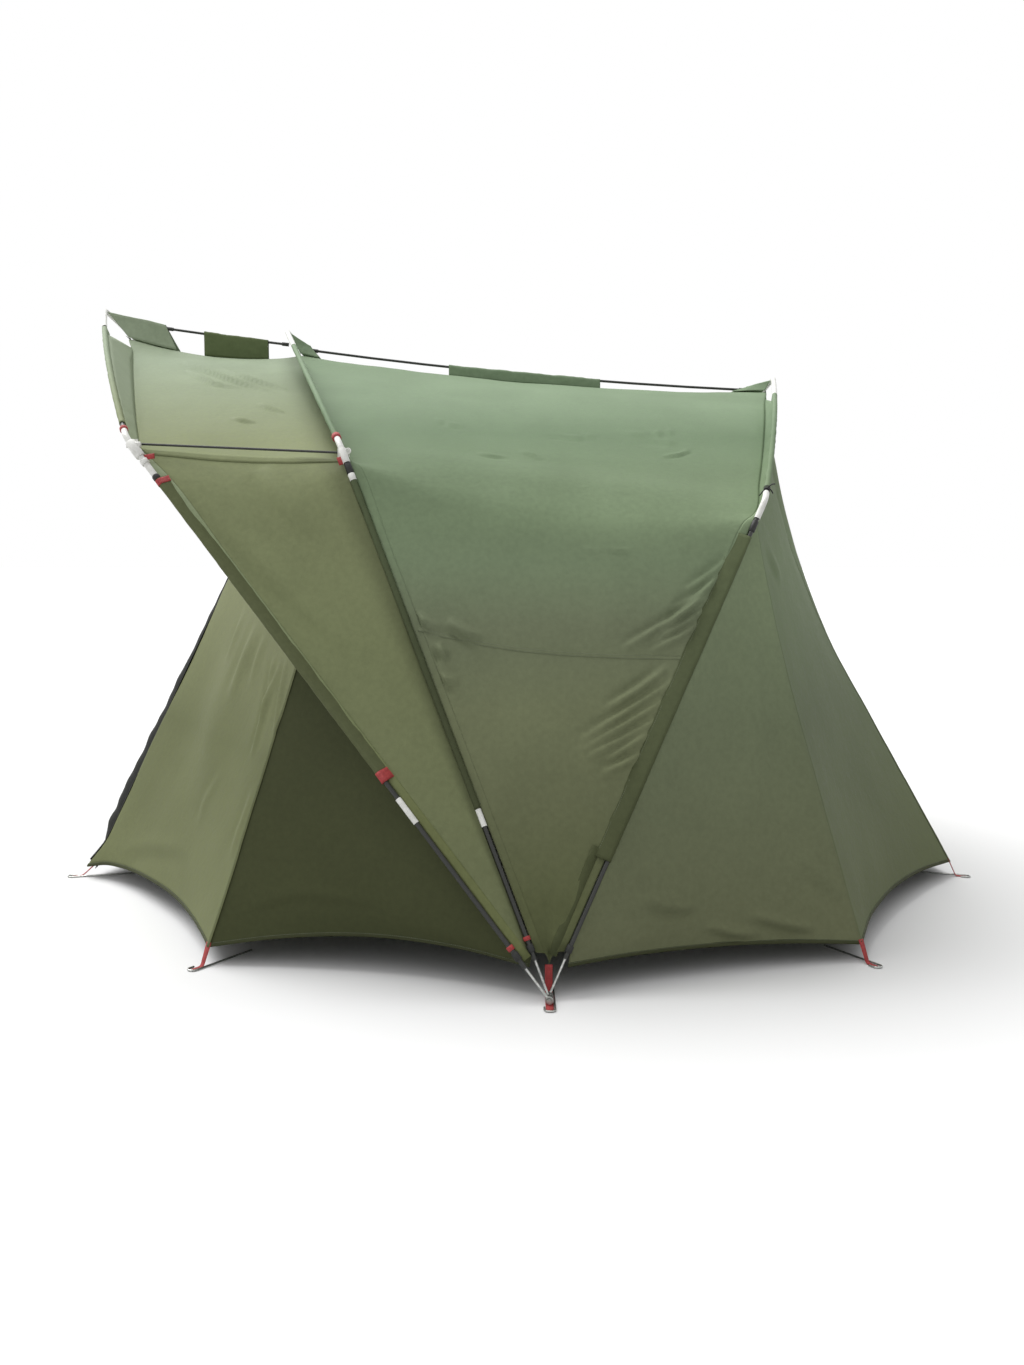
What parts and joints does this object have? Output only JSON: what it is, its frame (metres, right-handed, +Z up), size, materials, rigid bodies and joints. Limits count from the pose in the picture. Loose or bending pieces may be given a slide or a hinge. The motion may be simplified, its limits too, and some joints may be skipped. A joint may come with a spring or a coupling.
{
  "type": "fishing bivvy",
  "caption": "Three-hoop fishing bivvy pitched with its porch hood out: pivoting fibreglass hoops, coated fabric canopy, mesh door, ridge bars and ground pegs.",
  "frame": {"origin": "on the ground, in the middle between the outermost pegs front to rear and side to side", "axes": "+Z up, +X to the rear (the porch faces -X), Y across, with the pictured side at -Y"},
  "size_m": [2.8188, 3.229, 1.8005],
  "materials": {
    "roof_fabric": "coated polyester, soft satin",
    "porch_fabric": "coated polyester, soft satin",
    "wall_fabric": "coated polyester, soft satin",
    "tunnel_fabric": "coated polyester, crumpled",
    "door_mesh": "fine black mosquito mesh",
    "black_fibreglass": "pultruded fibreglass, satin black",
    "white_plastic": "moulded nylon, off-white",
    "plated_steel": "zinc-plated steel wire and bar",
    "red_webbing": "woven red webbing"
  },
  "bodies": {
    "root": {"awning": "porch_fabric", "front_ridge_bar": "black_fibreglass", "front_ridge_tunnel": "tunnel_fabric", "front_wall": "wall_fabric", "main_canopy": "roof_fabric", "middle_elbow_far": "white_plastic", "middle_elbow_near": "white_plastic", "middle_foot_pin_far": "plated_steel", "middle_foot_pin_near": "plated_steel", "middle_hub": "white_plastic", "middle_leg_far": "black_fibreglass", "middle_leg_ferrule_far": "white_plastic", "middle_leg_ferrule_near": "white_plastic", "middle_leg_near": "black_fibreglass", "middle_roof_pole_far": "black_fibreglass", "middle_roof_pole_near": "black_fibreglass", "pivot_bolt_far": "plated_steel", "pivot_bolt_near": "plated_steel", "pivot_strap_far": "red_webbing", "pivot_strap_near": "red_webbing", "rear_elbow_far": "white_plastic", "rear_elbow_near": "white_plastic", "rear_foot_pin_far": "plated_steel", "rear_foot_pin_near": "plated_steel", "rear_hub": "white_plastic", "rear_leg_far": "black_fibreglass", "rear_leg_near": "black_fibreglass", "rear_ridge_bar": "black_fibreglass", "rear_ridge_tunnel": "tunnel_fabric", "rear_roof_pole_far": "black_fibreglass", "rear_roof_pole_near": "black_fibreglass", "rear_wall": "wall_fabric", "shoulder_brace_far": "black_fibreglass", "shoulder_brace_near": "black_fibreglass"},
    "front_hoop": {"front_leg_near": "black_fibreglass", "front_leg_far": "black_fibreglass", "front_leg_ferrule_near": "white_plastic", "front_leg_ferrule_far": "white_plastic", "front_foot_pin_near": "plated_steel", "front_foot_pin_far": "plated_steel", "front_roof_pole_near": "black_fibreglass", "front_roof_pole_far": "black_fibreglass", "front_elbow_near": "white_plastic", "front_elbow_far": "white_plastic", "front_hub": "white_plastic"},
    "door": {"mesh_door": "door_mesh"},
    "zip_slider": {"door_zip_slider": "plated_steel"},
    "pivot_peg_near_body": {"pivot_peg_near": "plated_steel"},
    "pivot_peg_far_body": {"pivot_peg_far": "plated_steel"},
    "front_end_peg_near_body": {"front_end_peg_near": "plated_steel"},
    "front_end_peg_far_body": {"front_end_peg_far": "plated_steel"},
    "front_side_peg_near_body": {"front_side_peg_near": "plated_steel"},
    "front_side_peg_far_body": {"front_side_peg_far": "plated_steel"},
    "rear_side_peg_near_body": {"rear_side_peg_near": "plated_steel"},
    "rear_side_peg_far_body": {"rear_side_peg_far": "plated_steel"},
    "rear_end_peg_near_body": {"rear_end_peg_near": "plated_steel"},
    "rear_end_peg_far_body": {"rear_end_peg_far": "plated_steel"}
  },
  "joints": [
    {"name": "front_hoop_fold", "type": "hinge", "parent": "root", "child": "front_hoop", "pos_m": [0.063, 0, 0.0119], "axis": [0, 1, 0], "range_deg": [0, 26], "deforming": ["awning"]},
    {"name": "door_swing", "type": "hinge", "parent": "root", "child": "door", "pos_m": [-1.31939, -0.39786, 0.04559], "axis": [0.4226, 0.1038, 0.9003], "range_deg": [0, 90]},
    {"name": "zip_slide", "type": "slide", "parent": "root", "child": "zip_slider", "axis": [0.4226, -0.1038, 0.9003], "range_m": [0, 1.09]},
    {"name": "pivot_peg_near_pull", "type": "slide", "parent": "root", "child": "pivot_peg_near_body", "axis": [0, -1, 0], "range_m": [0, 0.25]},
    {"name": "pivot_peg_far_pull", "type": "slide", "parent": "root", "child": "pivot_peg_far_body", "axis": [0, 1, 0], "range_m": [0, 0.25]},
    {"name": "front_end_peg_near_pull", "type": "slide", "parent": "root", "child": "front_end_peg_near_body", "axis": [-0.9609, -0.2768, 0], "range_m": [0, 0.25]},
    {"name": "front_end_peg_far_pull", "type": "slide", "parent": "root", "child": "front_end_peg_far_body", "axis": [-0.9609, 0.2768, 0], "range_m": [0, 0.25]},
    {"name": "front_side_peg_near_pull", "type": "slide", "parent": "root", "child": "front_side_peg_near_body", "axis": [-0.5496, -0.8354, 0], "range_m": [0, 0.25]},
    {"name": "front_side_peg_far_pull", "type": "slide", "parent": "root", "child": "front_side_peg_far_body", "axis": [-0.5496, 0.8354, 0], "range_m": [0, 0.25]},
    {"name": "rear_side_peg_near_pull", "type": "slide", "parent": "root", "child": "rear_side_peg_near_body", "axis": [0.5331, -0.846, 0], "range_m": [0, 0.25]},
    {"name": "rear_side_peg_far_pull", "type": "slide", "parent": "root", "child": "rear_side_peg_far_body", "axis": [0.5331, 0.846, 0], "range_m": [0, 0.25]},
    {"name": "rear_end_peg_near_pull", "type": "slide", "parent": "root", "child": "rear_end_peg_near_body", "axis": [0.9537, -0.3007, 0], "range_m": [0, 0.25]},
    {"name": "rear_end_peg_far_pull", "type": "slide", "parent": "root", "child": "rear_end_peg_far_body", "axis": [0.9537, 0.3007, 0], "range_m": [0, 0.25]}
  ]
}
